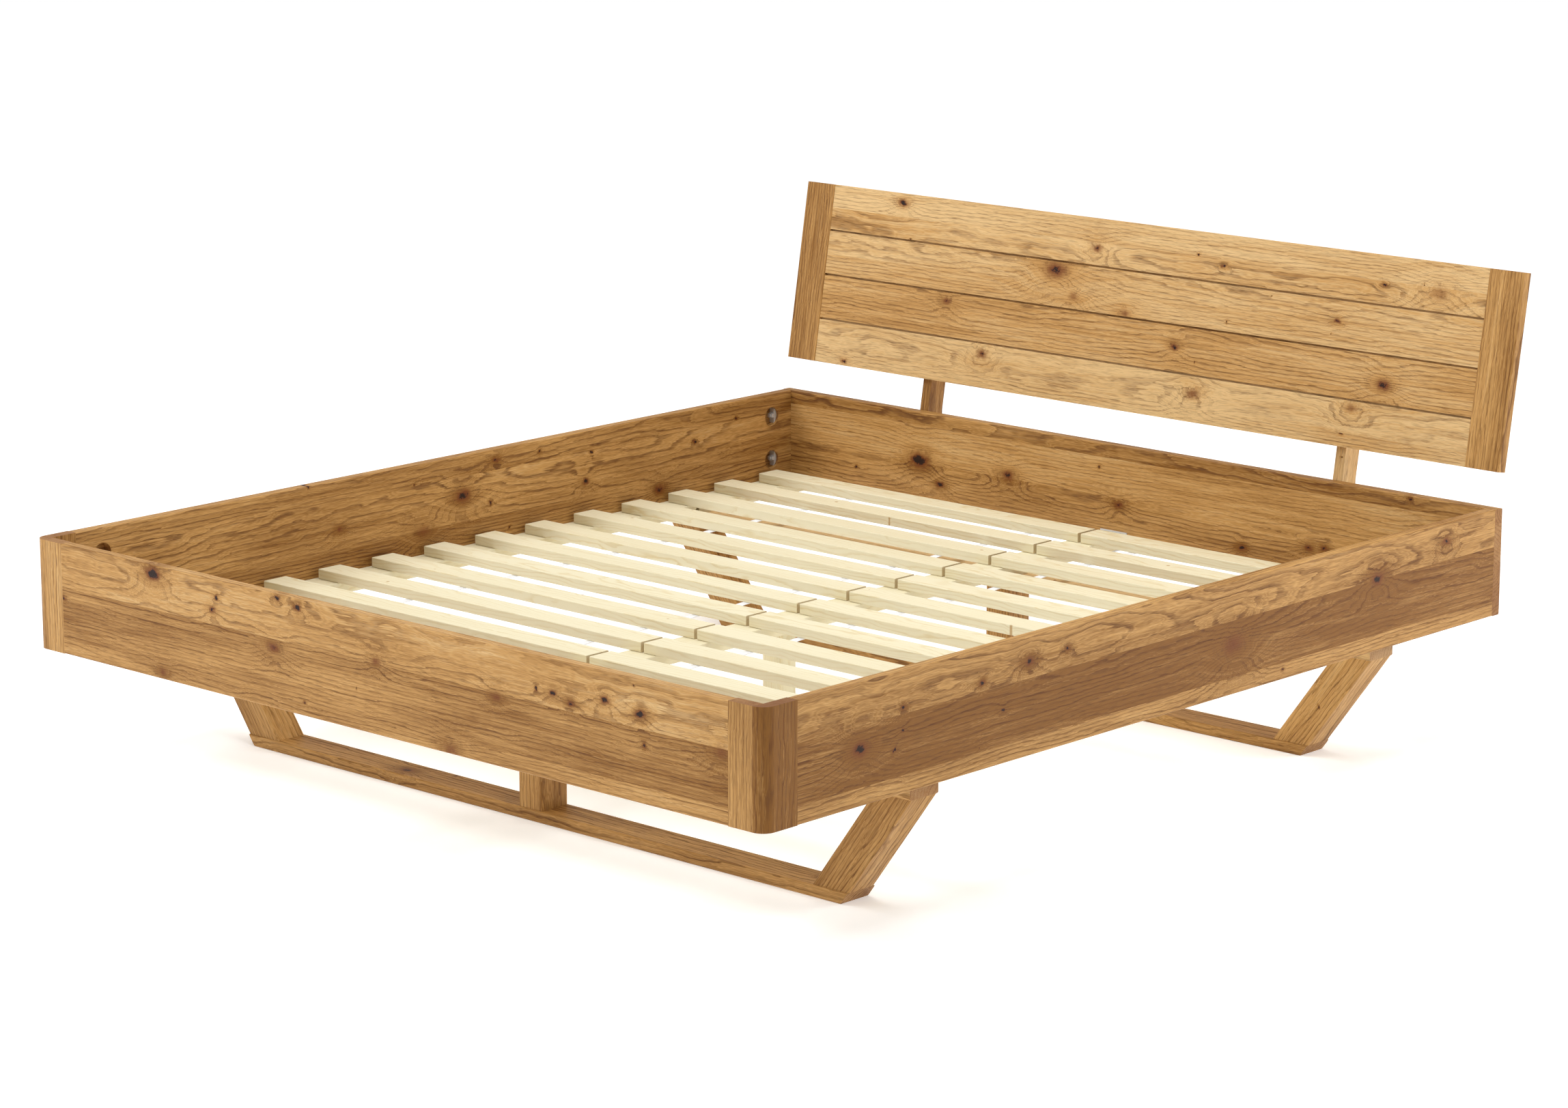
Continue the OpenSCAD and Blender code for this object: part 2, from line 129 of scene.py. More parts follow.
class StageSettings(bpy.types.PropertyGroup):
    """Studio light and floor"""
    floor: colour_property("Floor", "Pale studio floor", "#F7F7F7")
    surround: FloatProperty(name="Surround", description="Strength of the light all round",
                            default=0.45, min=0.0, max=5.0)
    key: FloatProperty(name="Key", description="Power of the large front light",
                       default=205.0, min=0.0, max=10000.0, unit="POWER")
    side: FloatProperty(name="Side", description="Power of the light at the head",
                        default=70.0, min=0.0, max=10000.0, unit="POWER")
    top: FloatProperty(name="Top", description="Power of the light overhead",
                       default=175.0, min=0.0, max=10000.0, unit="POWER")
    glow: FloatProperty(name="Glow", description="Light that the floor gives off by itself",
                        default=0.3, min=0.0, max=2.0)
    lens: FloatProperty(name="Lens", description="Focal length on a 36 mm sensor, in millimetres",
                        default=103.64, min=20.0, max=400.0)


def add(tree, kind, wires=None, stops=None, **settings):
    """Add a node with its settings, its ramp's stops, and its values and links by socket.
    A socket goes by name or number. Numbers 1 to 4 of a MapRange are the low and high ends
    that it maps from, then the two that it maps to."""
    node = tree.nodes.new("ShaderNode" + kind)
    for key, value in settings.items():
        setattr(node, key, value)
    inputs = [s for s in node.inputs if s.enabled]
    for key, value in (wires or {}).items():
        socket = inputs[key] if isinstance(key, int) else next(s for s in inputs if s.name == key)
        if isinstance(value, bpy.types.Node):
            value = next(s for s in value.outputs if s.enabled)
        if isinstance(value, bpy.types.NodeSocket):
            tree.links.new(value, socket)
        else:
            socket.default_value = value
    if stops:
        elements = node.color_ramp.elements
        while len(elements) > 1:
            elements.remove(elements[-1])
        for i, (position, colour) in enumerate(stops):
            element = elements[0] if i == 0 else elements.new(position)
            element.position = position
            element.color = colour
    return node


def new_group(name, inputs, outputs):
    """An empty node group, and its inputs by name."""
    tree = bpy.data.node_groups.new(name, "ShaderNodeTree")
    for label in inputs:
        kind = "NodeSocketVector" if label in ("Place", "Middle") else "NodeSocketFloat"
        tree.interface.new_socket(label, in_out="INPUT", socket_type=kind)
    for label in outputs:
        kind = "NodeSocketColor" if label == "Colour" else "NodeSocketFloat"
        tree.interface.new_socket(label, in_out="OUTPUT", socket_type=kind)
    source = tree.nodes.new("NodeGroupInput")
    return tree, {s.name: s for s in source.outputs if s.name}


def close_group(tree, **outputs):
    """Link the group's results."""
    sink = tree.nodes.new("NodeGroupOutput")
    for name, value in outputs.items():
        if isinstance(value, bpy.types.Node):
            value = next(s for s in value.outputs if s.enabled)
        tree.links.new(value, sink.inputs[name])
    return tree


def sawn_wood_group():
    """A board sawn from a round log whose heart wanders. Its rings, and its fibres, bands and
    pores, which run along the board and flow round the knots."""
    tree, io = new_group("sawn wood", ("Place", "Seed", "Centre", "Arch", "Bend", "Ring width"),
                         ("Ring", "Comb", "Fibre", "Band", "Cloud", "Pore"))
    moved = add(tree, "VectorMath", {0: io["Seed"], 1: (31.7, 17.3, 9.1), 2: io["Place"]},
                operation="MULTIPLY_ADD")
    noise = {}

    def fields(start, table):
        for name, (cells, detail) in table.items():
            scaled = add(tree, "VectorMath", {0: start, 1: cells}, operation="MULTIPLY")
            noise[name] = add(tree, "TexNoise",
                              {"Vector": scaled, "Scale": 1.0, "Detail": detail})

    # Cells per metre along, across and into the board
    fields(moved, {"sway": ((0.9, 2.5, 2.5), 1), "wave": ((4.5, 16, 16), 3),
                   "ripple": ((14, 35, 35), 2), "cloud": ((1.8, 9, 9), 3)})
    flow = add(tree, "Math", {0: noise["wave"], 1: 0.03, 2: io["Bend"]},
               operation="MULTIPLY_ADD")
    flow = add(tree, "Math", {0: noise["ripple"], 1: 0.006, 2: flow}, operation="MULTIPLY_ADD")
    shift = add(tree, "CombineXYZ", {1: flow})
    flowed = add(tree, "VectorMath", {0: moved, 1: shift}, operation="ADD")
    # Real pores are 0.3 mm wide: they are drawn about 1 mm wide, so that they show
    fields(flowed, {"band": ((3.0, 75, 75), 2), "fibre": ((9, 330, 330), 3),
                    "pore": ((40, 700, 700), 1)})
    chance = add(tree, "TexWhiteNoise", {"W": io["Seed"]}, noise_dimensions="1D")
    dice = add(tree, "SeparateXYZ", {0: chance.outputs["Color"]}).outputs
    place = add(tree, "SeparateXYZ", {0: io["Place"]}).outputs
    # Across the face: a straight-grained strip is sawn far from the heart
    aside = add(tree, "Math", {0: io["Arch"], 1: 0.26, 2: -0.26}, operation="MULTIPLY_ADD")
    across = add(tree, "Math", {0: place["Y"], 1: io["Centre"]}, operation="SUBTRACT")
    across = add(tree, "Math", {0: across, 1: aside}, operation="ADD")
    across = add(tree, "Math", {0: dice["X"], 1: 0.05, 2: across}, operation="MULTIPLY_ADD")
    # Into the board: the heart's depth, its slope along the board and its sway
    depth = add(tree, "Math", {0: dice["Y"], 1: 0.05, 2: -0.03}, operation="MULTIPLY_ADD")
    depth = add(tree, "Math", {0: depth, 1: place["Z"]}, operation="ADD")
    slope = add(tree, "Math", {0: dice["Z"], 1: 0.05, 2: -0.025}, operation="MULTIPLY_ADD")
    depth = add(tree, "Math", {0: slope, 1: place["X"], 2: depth}, operation="MULTIPLY_ADD")
    depth = add(tree, "Math", {0: noise["sway"], 1: 0.09, 2: depth}, operation="MULTIPLY_ADD")
    spot = add(tree, "CombineXYZ", {0: across, 1: depth})
    radius = add(tree, "VectorMath", {0: spot}, operation="LENGTH")
    radius = add(tree, "Math", {0: radius.outputs["Value"], 1: flow}, operation="ADD")
    years = add(tree, "Math", {0: radius, 1: io["Ring width"]}, operation="DIVIDE")
    years = add(tree, "Math", {0: noise["fibre"], 1: 0.5, 2: years}, operation="MULTIPLY_ADD")
    season = add(tree, "Math", {0: years}, operation="FRACT")
    spring = add(tree, "MapRange", {"Value": season, 1: 0.03, 2: 0.4, 3: 1.0, 4: 0.0},
                 interpolation_type="SMOOTHSTEP")
    autumn = add(tree, "MapRange", {"Value": season, 1: 0.9, 2: 1.0, 3: 0.0, 4: 1.0})
    ring = add(tree, "Math", {0: spring, 1: autumn}, operation="MAXIMUM")
    # Fine lines that follow the rings, four to a year
    comb = add(tree, "Math", {0: noise["fibre"], 1: 5.0}, operation="MULTIPLY")
    comb = add(tree, "Math", {0: years, 1: 4 * math.tau, 2: comb}, operation="MULTIPLY_ADD")
    comb = add(tree, "Math", {0: comb}, operation="SINE")
    # Good and poor years, and rings that fade in and out along the board
    year = add(tree, "Math", {0: years}, operation="FLOOR")
    weather = add(tree, "TexWhiteNoise", {"W": year}, noise_dimensions="1D")
    weather = add(tree, "Math", {0: weather, 1: 0.7, 2: 0.3}, operation="MULTIPLY_ADD")
    fade = add(tree, "MapRange", {"Value": noise["band"], 1: 0.3, 2: 0.55, 3: 0.4, 4: 1.0})
    ring = add(tree, "Math", {0: ring, 1: weather}, operation="MULTIPLY")
    ring = add(tree, "Math", {0: ring, 1: fade}, operation="MULTIPLY")
    pore = add(tree, "MapRange", {"Value": noise["pore"], 1: 0.5, 2: 0.64})
    porous = add(tree, "Math", {0: ring, 1: 0.6, 2: 0.4}, operation="MULTIPLY_ADD")
    pore = add(tree, "Math", {0: pore, 1: porous}, operation="MULTIPLY")
    return close_group(tree, Ring=ring, Comb=comb, Fibre=noise["fibre"], Band=noise["band"],
                       Cloud=noise["cloud"], Pore=pore)


def bell(tree, square, narrow):
    """The last node of a bell curve over a squared distance."""
    power = add(tree, "Math", {0: square, 1: -narrow}, operation="MULTIPLY")
    return add(tree, "Math", {0: power}, operation="EXPONENT")


def knot_group():
    """One knot: fibres and rings part round it, and it darkens the wood. Knots are chained."""
    tree, io = new_group("knot", ("Place", "Middle", "Radius", "Dark", "Bend", "Knot", "Halo"),
                         ("Bend", "Knot", "Halo"))
    away = add(tree, "VectorMath", {0: io["Place"], 1: io["Middle"]}, operation="SUBTRACT")
    away = add(tree, "VectorMath", {0: away, 1: (0.62, 1.0, 0.0)}, operation="MULTIPLY")
    far = add(tree, "VectorMath", {0: away}, operation="LENGTH")
    far = add(tree, "Math", {0: far.outputs["Value"], 1: io["Radius"]}, operation="DIVIDE")
    square = add(tree, "Math", {0: far, 1: far}, operation="MULTIPLY")
    wide = bell(tree, square, 0.16)
    aside = add(tree, "SeparateXYZ", {0: away}).outputs["Y"]
    part = add(tree, "Math", {0: aside, 1: -1.15}, operation="MULTIPLY")
    push = add(tree, "Math", {0: io["Radius"], 1: 0.7, 2: part}, operation="MULTIPLY_ADD")
    bend = add(tree, "Math", {0: wide, 1: push, 2: io["Bend"]}, operation="MULTIPLY_ADD")
    core = add(tree, "Math", {0: bell(tree, square, 1.5), 1: io["Dark"]}, operation="MULTIPLY")
    knot = add(tree, "Math", {0: core, 1: io["Knot"]}, operation="MAXIMUM")
    stain = add(tree, "Math", {0: bell(tree, square, 0.3), 1: io["Dark"]}, operation="MULTIPLY")
    halo = add(tree, "Math", {0: stain, 1: io["Halo"]}, operation="MAXIMUM")
    return close_group(tree, Bend=bend, Knot=knot, Halo=halo)


def pin_knot_group():
    """Small knots scattered over a board, in about every second cell of 300 by 90 mm."""
    tree, io = new_group("pin knots", ("Place", "Seed"), ("Bend", "Knot", "Halo"))
    cells, back = (3.3, 11.0, 0.0), (1 / 3.3, 1 / 11.0, 0.0)
    moved = add(tree, "VectorMath", {0: io["Seed"], 1: (13.1, 7.7, 0.0), 2: io["Place"]},
                operation="MULTIPLY_ADD")
    scaled = add(tree, "VectorMath", {0: moved, 1: cells}, operation="MULTIPLY")
    cell = add(tree, "TexVoronoi", {"Vector": scaled, "Scale": 1.0}, voronoi_dimensions="2D")
    away = add(tree, "VectorMath", {0: scaled, 1: cell.outputs["Position"]},
               operation="SUBTRACT")
    away = add(tree, "VectorMath", {0: away, 1: back}, operation="MULTIPLY")
    far = add(tree, "VectorMath", {0: away}, operation="LENGTH")
    chance = add(tree, "SeparateXYZ", {0: cell.outputs["Color"]}).outputs["X"]
    radius = add(tree, "MapRange", {"Value": chance, 1: 0.5, 2: 1.0, 3: 0.0002, 4: 0.005})
    far = add(tree, "Math", {0: far.outputs["Value"], 1: radius}, operation="DIVIDE")
    square = add(tree, "Math", {0: far, 1: far}, operation="MULTIPLY")
    bend = add(tree, "Math", {0: bell(tree, square, 0.15), 1: radius}, operation="MULTIPLY")
    return close_group(tree, Bend=bend, Knot=bell(tree, square, 1.5),
                       Halo=bell(tree, square, 0.4))


def oiled_oak_group(oak):
    """Colour, roughness and relief of oiled oak from its rings, pores and knots."""
    tree, io = new_group("oiled oak", ("Place", "Seed", "Centre", "Arch", "Tone", "Bend", "Knot",
                                       "Halo", "End"), ("Colour", "Roughness", "Height"))
    wood = add(tree, "Group", {"Place": io["Place"], "Seed": io["Seed"], "Arch": io["Arch"],
                               "Centre": io["Centre"], "Bend": io["Bend"],
                               "Ring width": oak.ring},
               node_tree=bpy.data.node_groups["sawn wood"]).outputs
    # The tone of the strip, changed by slow clouds, bands along the grain and single fibres
    tone = add(tree, "Math", {0: io["Tone"], 1: -1.02}, operation="ADD")
    for part, amount in (("Cloud", 0.85), ("Band", 0.6), ("Fibre", 0.6), ("Comb", 0.08)):
        tone = add(tree, "Math", {0: wood[part], 1: amount, 2: tone}, operation="MULTIPLY_ADD")
    tone = add(tree, "Math", {0: io["Halo"], 1: 0.5, 2: tone}, operation="MULTIPLY_ADD")
    base = add(tree, "ValToRGB", {"Fac": tone}, stops=[
        (0.0, opaque(oak.pale)), (0.5, opaque(oak.honey)), (1.0, opaque(oak.brown))])
    # Dark strips show their rings more than pale ones
    strength = add(tree, "MapRange", {"Value": io["Tone"], 1: 0.2, 2: 0.75, 3: 0.5, 4: 0.95})
    strength = add(tree, "Math", {0: wood["Ring"], 1: strength}, operation="MULTIPLY")
    # Cracks about 8 mm apart split the knots' hearts
    crack = add(tree, "TexVoronoi", {"Vector": io["Place"], "Scale": 120.0},
                feature="DISTANCE_TO_EDGE")
    crack = add(tree, "MapRange", {"Value": crack, 1: 0.0, 2: 0.16, 3: 1.0, 4: 0.8})
    crack = add(tree, "Math", {0: crack, 1: io["Knot"]}, operation="MULTIPLY")
    mixed = base
    for amount, colour in (
            (strength, oak.ring_wood),
            (add(tree, "Math", {0: wood["Pore"], 1: 0.6}, operation="MULTIPLY"), oak.pore),
            (add(tree, "MapRange", {"Value": io["Knot"], 1: 0.05, 2: 0.6}), oak.knot_rim),
            (add(tree, "MapRange", {"Value": crack, 1: 0.46, 2: 0.58}), oak.knot_heart),
            (add(tree, "Math", {0: io["End"], 1: 0.55}, operation="MULTIPLY"), oak.end_wood)):
        mixed = add(tree, "Mix", {0: amount, 1: mixed, 2: opaque(colour)}, data_type="RGBA")
    # Oil leaves the dense wood satin, and the porous rings stay duller
    rough = add(tree, "Math", {0: wood["Ring"], 1: 0.14, 2: 0.46}, operation="MULTIPLY_ADD")
    low = add(tree, "Math", {0: wood["Pore"], 1: 0.6}, operation="MULTIPLY")
    low = add(tree, "Math", {0: wood["Ring"], 1: 0.35, 2: low}, operation="MULTIPLY_ADD")
    height = add(tree, "Math", {0: 1.0, 1: low}, operation="SUBTRACT")
    return close_group(tree, Colour=mixed, Roughness=rough, Height=height)


def new_material(name):
    """A new material and its empty node tree."""
    material = bpy.data.materials.new(name)
    material.use_nodes = True
    material.node_tree.nodes.clear()
    return material, material.node_tree


def grain_of(node, along, across):
    """Grain frame of a CAD node. along and across are unit vectors."""
    low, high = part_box(node)
    along, across = Vector(along), Vector(across)
    corners = [Vector((x, y, z)) for x in (low.x, high.x) for y in (low.y, high.y)
               for z in (low.z, high.z)]
    reach = [(c - low).dot(across) for c in corners]
    # The lowest corner across the grain, and along it, is the origin
    origin = low + across * min(reach) + along * min((c - low).dot(along) for c in corners)
    return Grain(origin, along, across, max(reach) - min(reach))


def grain_place(tree, grain):
    """Place of the shaded point in the board's grain frame, in metres."""
    turn = Matrix((grain.along, grain.across, grain.along.cross(grain.across))).transposed()
    coordinates = add(tree, "TexCoord")
    place = add(tree, "Mapping", {"Vector": coordinates.outputs["Object"],
                                  "Location": grain.origin, "Rotation": turn.to_euler()},
                vector_type="TEXTURE")
    facing = add(tree, "VectorMath", {0: coordinates.outputs["Normal"], 1: grain.along},
                 operation="DOT_PRODUCT")
    facing = add(tree, "Math", {0: facing.outputs["Value"]}, operation="ABSOLUTE")
    end = add(tree, "MapRange", {"Value": facing, 1: 0.7, 2: 0.95})
    return place, end


def oiled_oak(node, grain, strips, knots, oak):
    """Knotty oak, planed, lightly brushed and oiled: honey-coloured, with dark porous rings
    and a soft sheen that the pores break up."""
    material, tree = new_material("oiled_oak_" + node)
    place, end = grain_place(tree, grain)
    share = add(tree, "SeparateXYZ", {0: place}).outputs["Y"]
    share = add(tree, "Math", {0: share, 1: grain.height}, operation="DIVIDE")
    # The ramp is the table of the board's strips: tone, arch, log and centre
    ends = [s.start for s in strips[1:]] + [1.0]
    stops = [(s.start, (s.tone, s.arch, s.log, (s.start + e) / 2)) for s, e in zip(strips, ends)]
    table = add(tree, "ValToRGB", {"Fac": share}, stops=stops)
    table.color_ramp.interpolation = "CONSTANT"
    strip = add(tree, "SeparateXYZ", {0: table.outputs["Color"]}).outputs
    centre = add(tree, "Math", {0: table.outputs["Alpha"], 1: grain.height},
                 operation="MULTIPLY")
    seed = add(tree, "Math", {0: strip["Z"], 1: 10.0}, operation="MULTIPLY")
    # Knots have ragged outlines: a noise of 15 mm moves them by up to 4 mm
    ragged = add(tree, "TexNoise", {"Vector": place, "Scale": 70.0, "Detail": 3.0})
    ragged = add(tree, "VectorMath", {0: ragged.outputs["Color"], 1: (0.5, 0.5, 0.5)},
                 operation="SUBTRACT")
    ragged = add(tree, "VectorMath", {0: ragged, 1: (0.018, 0.012, 0.0), 2: place},
                 operation="MULTIPLY_ADD")
    chain = add(tree, "Group", {"Place": ragged, "Seed": seed},
                node_tree=bpy.data.node_groups["pin knots"])
    for knot in knots:
        chain = add(tree, "Group", {
            "Place": ragged, "Middle": (knot.along, knot.across, 0.0), "Radius": knot.radius,
            "Dark": knot.dark, "Bend": chain.outputs["Bend"], "Knot": chain.outputs["Knot"],
            "Halo": chain.outputs["Halo"]},
            node_tree=bpy.data.node_groups["knot"])
    face = add(tree, "Group", {
        "Place": place, "Seed": seed, "Centre": centre, "Arch": strip["Y"], "Tone": strip["X"],
        "Bend": chain.outputs["Bend"], "Knot": chain.outputs["Knot"],
        "Halo": chain.outputs["Halo"], "End": end},
        node_tree=bpy.data.node_groups["oiled oak"])
    relief = add(tree, "Bump", {"Strength": 0.6, "Distance": oak.relief,
                                "Height": face.outputs["Height"]})
    surface = add(tree, "BsdfPrincipled", {
        "Base Color": face.outputs["Colour"], "Roughness": face.outputs["Roughness"],
        "Normal": relief, "IOR": WOOD_IOR, "Specular IOR Level": 0.2})
    add(tree, "OutputMaterial", {"Surface": surface})
    return material


def planed_pine(name, along, across, origin, repeat, pine):
    """Pine, sawn and planed, left bare: cream, with faint yellow rings and small pale knots.
    Pieces that repeat across the grain, such as slats, each come from another log."""
    material, tree = new_material("planed_pine_" + name)
    place, end = grain_place(tree, Grain(Vector(origin), Vector(along), Vector(across), 1.0))
    step = add(tree, "SeparateXYZ", {0: place}).outputs
    count = add(tree, "Math", {0: step["Y"], 1: repeat}, operation="DIVIDE")
    count = add(tree, "Math", {0: count}, operation="FLOOR")
    # The seed differs from slat to slat and between the two mats
    half = add(tree, "Math", {0: step["X"], 1: 0.0}, operation="GREATER_THAN")
    seed = add(tree, "Math", {0: half, 1: 0.37}, operation="MULTIPLY")
    seed = add(tree, "Math", {0: count, 1: 0.713, 2: seed}, operation="MULTIPLY_ADD")
    middle = add(tree, "Math", {0: count, 1: 0.35}, operation="ADD")
    middle = add(tree, "Math", {0: middle, 1: repeat}, operation="MULTIPLY")
    pins = add(tree, "Group", {"Place": place, "Seed": seed},
               node_tree=bpy.data.node_groups["pin knots"]).outputs
    wood = add(tree, "Group", {"Place": place, "Seed": seed, "Centre": middle, "Arch": 0.85,
                               "Bend": pins["Bend"], "Ring width": pine.width},
               node_tree=bpy.data.node_groups["sawn wood"]).outputs
    tone = add(tree, "Math", {0: wood["Cloud"], 1: 0.5, 2: -0.2}, operation="MULTIPLY_ADD")
    tone = add(tree, "Math", {0: wood["Ring"], 1: tone}, operation="ADD")
    base = add(tree, "Mix", {0: tone, 1: opaque(pine.pale), 2: opaque(pine.ring)},
               data_type="RGBA")
    mark = add(tree, "MapRange", {"Value": pins["Knot"], 1: 0.15, 2: 0.6, 3: 0.0, 4: 0.8})
    base = add(tree, "Mix", {0: mark, 1: base, 2: opaque(pine.knot)}, data_type="RGBA")
    dull = add(tree, "Math", {0: end, 1: 0.35}, operation="MULTIPLY")
    base = add(tree, "Mix", {0: dull, 1: base, 2: opaque(pine.knot)}, data_type="RGBA")
    # Planed wood is matt, and duller where its fibres stand open
    rough = add(tree, "Math", {0: wood["Fibre"], 1: 0.2, 2: 0.45}, operation="MULTIPLY_ADD")
    relief = add(tree, "Bump", {"Strength": 0.35, "Distance": 0.0004, "Height": wood["Fibre"]})
    surface = add(tree, "BsdfPrincipled", {"Base Color": base, "Roughness": rough,
                                           "Normal": relief, "IOR": WOOD_IOR,
                                           "Specular IOR Level": 0.35})
    add(tree, "OutputMaterial", {"Surface": surface})
    return material


def zinc_plated_steel(hardware):
    """Steel, stamped or rolled, then zinc plated: pale grey metal with cloudy patches."""
    material, tree = new_material("zinc_plated_steel")
    coordinates = add(tree, "TexCoord").outputs["Object"]
    # Spangles of the plating, about 3 mm across
    spangle = add(tree, "TexVoronoi", {"Vector": coordinates, "Scale": 330.0})
    cloud = add(tree, "TexNoise", {"Vector": coordinates, "Scale": 90.0, "Detail": 3.0})
    shade = add(tree, "Math", {0: spangle.outputs["Color"], 1: 0.22, 2: cloud},
                operation="MULTIPLY_ADD")
    dark = tuple(0.75 * c for c in hardware.zinc)
    base = add(tree, "Mix", {0: shade, 1: opaque(dark), 2: opaque(hardware.zinc)},
               data_type="RGBA")
    rough = add(tree, "MapRange", {"Value": shade, 1: 0.3, 2: 0.9, 3: 0.55, 4: 0.38})
    # A thin, dull film of oxide lies over the plating in patches
    metal = add(tree, "MapRange", {"Value": cloud, 1: 0.35, 2: 0.65, 3: 0.4, 4: 0.7})
    relief = add(tree, "Bump", {"Strength": 0.15, "Distance": 0.0002, "Height": cloud})
    surface = add(tree, "BsdfPrincipled", {"Base Color": base, "Roughness": rough,
                                           "Metallic": metal, "Normal": relief})
    add(tree, "OutputMaterial", {"Surface": surface})
    return material


def woven_webbing(hardware):
    """Polyester webbing, plain woven: matt white, with a fine rib across the strap and painted
    shade between its threads.
    """
    material, tree = new_material("woven_webbing")
    coordinates = add(tree, "TexCoord").outputs["Object"]
    # The threads lie about 0.8 mm apart and are drawn twice as coarse, so that they show
    cells = 1.0 / hardware.thread
    scaled = add(tree, "VectorMath", {0: coordinates, 1: (cells, cells, 0.0)},
                 operation="MULTIPLY")
    weave = add(tree, "TexChecker", {"Vector": scaled, "Scale": 1.0,
                                     "Color1": (1, 1, 1, 1), "Color2": (0.55, 0.55, 0.55, 1)})
    fuzz = add(tree, "TexNoise", {"Vector": coordinates, "Scale": 900.0, "Detail": 2.0})
    height = add(tree, "Math", {0: weave.outputs["Fac"], 1: fuzz}, operation="ADD")
    # Painted shade: where the weave lies low, between the threads, the colour darkens towards
    # half the webbing's white
    shade = add(tree, "MapRange", {"Value": height, 1: 0.2, 2: 1.6, 3: 0.35, 4: 0.0})
    dark = tuple(0.5 * c for c in hardware.webbing)
    base = add(tree, "Mix", {0: shade, 1: opaque(hardware.webbing), 2: opaque(dark)},
               data_type="RGBA")
    # Loose fibres scatter the light, so the cloth has a soft sheen and no shine
    rough = add(tree, "MapRange", {"Value": fuzz, 1: 0.3, 2: 0.7, 3: 0.8, 4: 0.95})
    relief = add(tree, "Bump", {"Strength": 0.5, "Distance": 0.0003, "Height": height})
    surface = add(tree, "BsdfPrincipled", {"Base Color": base, "Roughness": rough,
                                           "Normal": relief, "Sheen Weight": 0.2})
    add(tree, "OutputMaterial", {"Surface": surface})
    return material


def finish(node, material, ease=0.0):
    """Give a CAD node its material and, where its edges are sharp, a small eased edge."""
    piece = NODES[node]
    piece.data.materials.clear()
    piece.data.materials.append(material)
    if ease:
        weld = piece.modifiers.new("weld", "WELD")
        weld.merge_threshold = WELD_GAP
        bevel = piece.modifiers.new("eased edges", "BEVEL")
        bevel.width = ease
        bevel.segments = 3
        bevel.limit_method = "ANGLE"
        bevel.angle_limit = SHARP
        bevel.harden_normals = True


X, Y, Z = Vector((1, 0, 0)), Vector((0, 1, 0)), Vector((0, 0, 1))
HEADBOARD_LEAN = math.radians(9.8)
UP_THE_SLOPE = Vector((0, math.sin(HEADBOARD_LEAN), math.cos(HEADBOARD_LEAN)))
LEG_LEAN = math.radians(36.4)
# Widths of the eased edges, in metres: hand-sanded boards, rounder legs, pressed steel
EASE = 0.0014
PLANK_EASE = EASE / 4  # the planks meet in finer grooves than the other boards
LEG_EASE = 0.0025
BRACKET_EASE = 0.0006
WELD_GAP = 1e-6
SHARP = math.radians(40)  # edges that turn more than this are eased

PANELS = {
    "foot_panel": (X, Z, [
        Strip(0.0, 0.62, 0.35, 0.11), Strip(0.14, 0.74, 0.3, 0.37),
        Strip(0.605, 0.44, 0.9, 0.61)], [
        Knot(0.267, 0.195, 0.013, 1.0), Knot(0.248, 0.218, 0.005, 1.0),
        Knot(0.444, 0.180, 0.004, 1.0), Knot(0.433, 0.155, 0.006, 0.8),
        Knot(0.612, 0.205, 0.005, 1.0), Knot(0.668, 0.196, 0.006, 1.0),
        Knot(0.599, 0.112, 0.011, 0.6), Knot(0.872, 0.134, 0.009, 0.5),
        Knot(1.175, 0.122, 0.008, 0.5), Knot(1.313, 0.152, 0.006, 0.8),
        Knot(1.357, 0.143, 0.006, 0.7), Knot(1.438, 0.163, 0.008, 0.8),
        Knot(1.520, 0.153, 0.008, 1.0), Knot(0.289, 0.014, 0.008, 0.5),
        Knot(1.706, 0.122, 0.012, 0.4), Knot(1.060, 0.007, 0.012, 0.4)]),
    "head_panel": (X, Z, [
        Strip(0.0, 0.68, 0.7, 0.19), Strip(0.476, 0.46, 0.2, 0.43),
        Strip(0.863, 0.68, 0.8, 0.91)], [
        Knot(0.401, 0.106, 0.018, 0.9), Knot(0.462, 0.061, 0.008, 0.8),
        Knot(0.651, 0.108, 0.012, 0.7), Knot(0.951, 0.087, 0.009, 0.6),
        Knot(1.271, 0.044, 0.006, 0.9), Knot(1.438, 0.069, 0.008, 0.6),
        Knot(1.477, 0.075, 0.006, 0.7)]),
    "left_side_rail": (Y, Z, [
        Strip(0.0, 0.70, 0.5, 0.31), Strip(0.34, 0.58, 0.6, 0.57),
        Strip(0.79, 0.66, 0.8, 0.77)], [
        Knot(1.002, 0.128, 0.015, 0.75), Knot(1.357, 0.104, 0.008, 0.8),
        Knot(1.579, 0.052, 0.011, 0.7), Knot(1.096, 0.189, 0.006, 0.7),
        Knot(0.663, 0.111, 0.006, 0.6), Knot(0.891, 0.071, 0.013, 0.4)]),
    "right_side_rail": (Y, Z, [
        Strip(0.0, 0.70, 0.2, 0.23), Strip(0.15, 1.04, 0.6, 0.47),
        Strip(0.65, 0.64, 0.95, 0.83)], [
        Knot(0.153, 0.098, 0.015, 0.8), Knot(0.260, 0.148, 0.004, 1.0),
        Knot(0.260, 0.111, 0.004, 1.0), Knot(0.519, 0.096, 0.004, 1.0),
        Knot(0.463, 0.154, 0.005, 1.0), Knot(0.588, 0.168, 0.009, 0.7),
        Knot(0.691, 0.172, 0.005, 0.9), Knot(1.165, 0.094, 0.022, 0.5),
        Knot(1.610, 0.140, 0.013, 0.8), Knot(1.834, 0.176, 0.009, 0.7)]),
}

